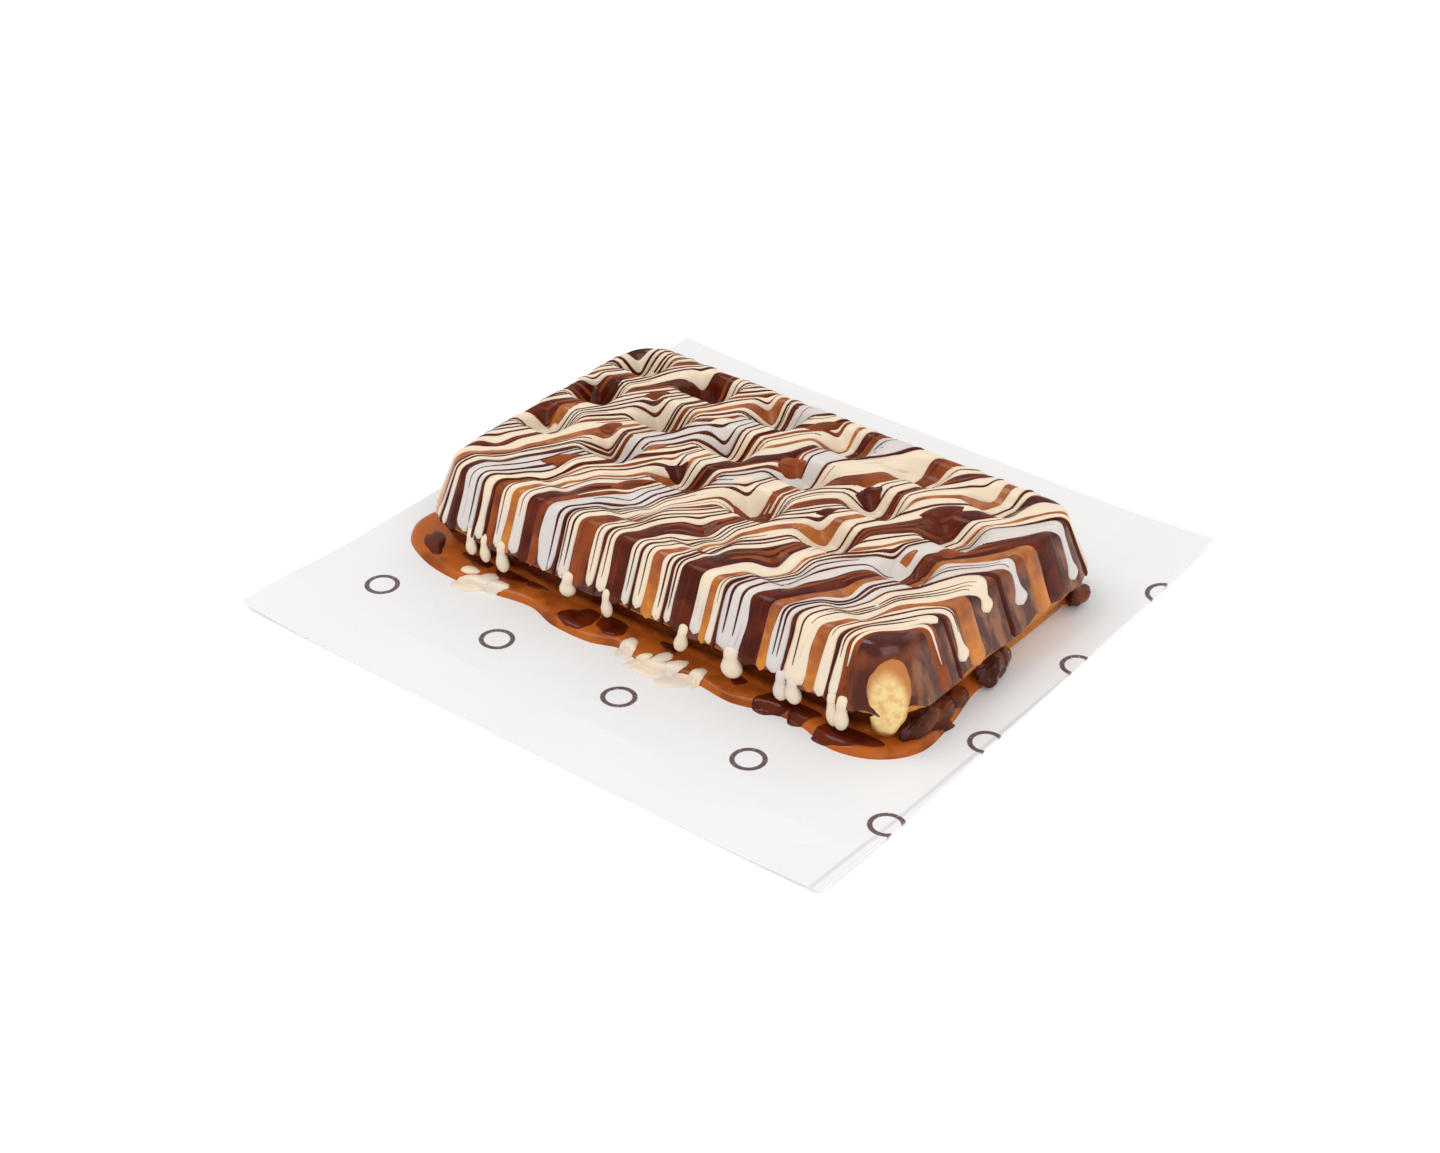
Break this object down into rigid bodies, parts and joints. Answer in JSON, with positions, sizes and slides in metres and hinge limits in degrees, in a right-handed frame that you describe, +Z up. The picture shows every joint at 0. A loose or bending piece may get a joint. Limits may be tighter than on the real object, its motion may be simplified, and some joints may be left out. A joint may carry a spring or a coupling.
{
  "type": "waffle",
  "caption": "Rectangular deep-welled waffle under white, milk and dark chocolate drizzle that runs down its sides into a sauce puddle, on a greaseproof paper sheet.",
  "frame": {"origin": "on the table under the middle of the paper sheet, which is the bottom centre of the bounding box", "axes": "+Z up, X along the waffle's long side, -Y towards the long side with the widest run of spilt sauce"},
  "size_m": [0.203, 0.196, 0.0304],
  "materials": {
    "baked_crust": "baked, satin",
    "milk_chocolate": "wet gloss",
    "dark_chocolate": "wet gloss",
    "white_chocolate": "soft gloss",
    "greaseproof_paper": "matt white, thin"
  },
  "bodies": {
    "root": {"waffle": "baked_crust", "sauce_puddle": "milk_chocolate", "paper": "greaseproof_paper"}
  },
  "joints": []
}
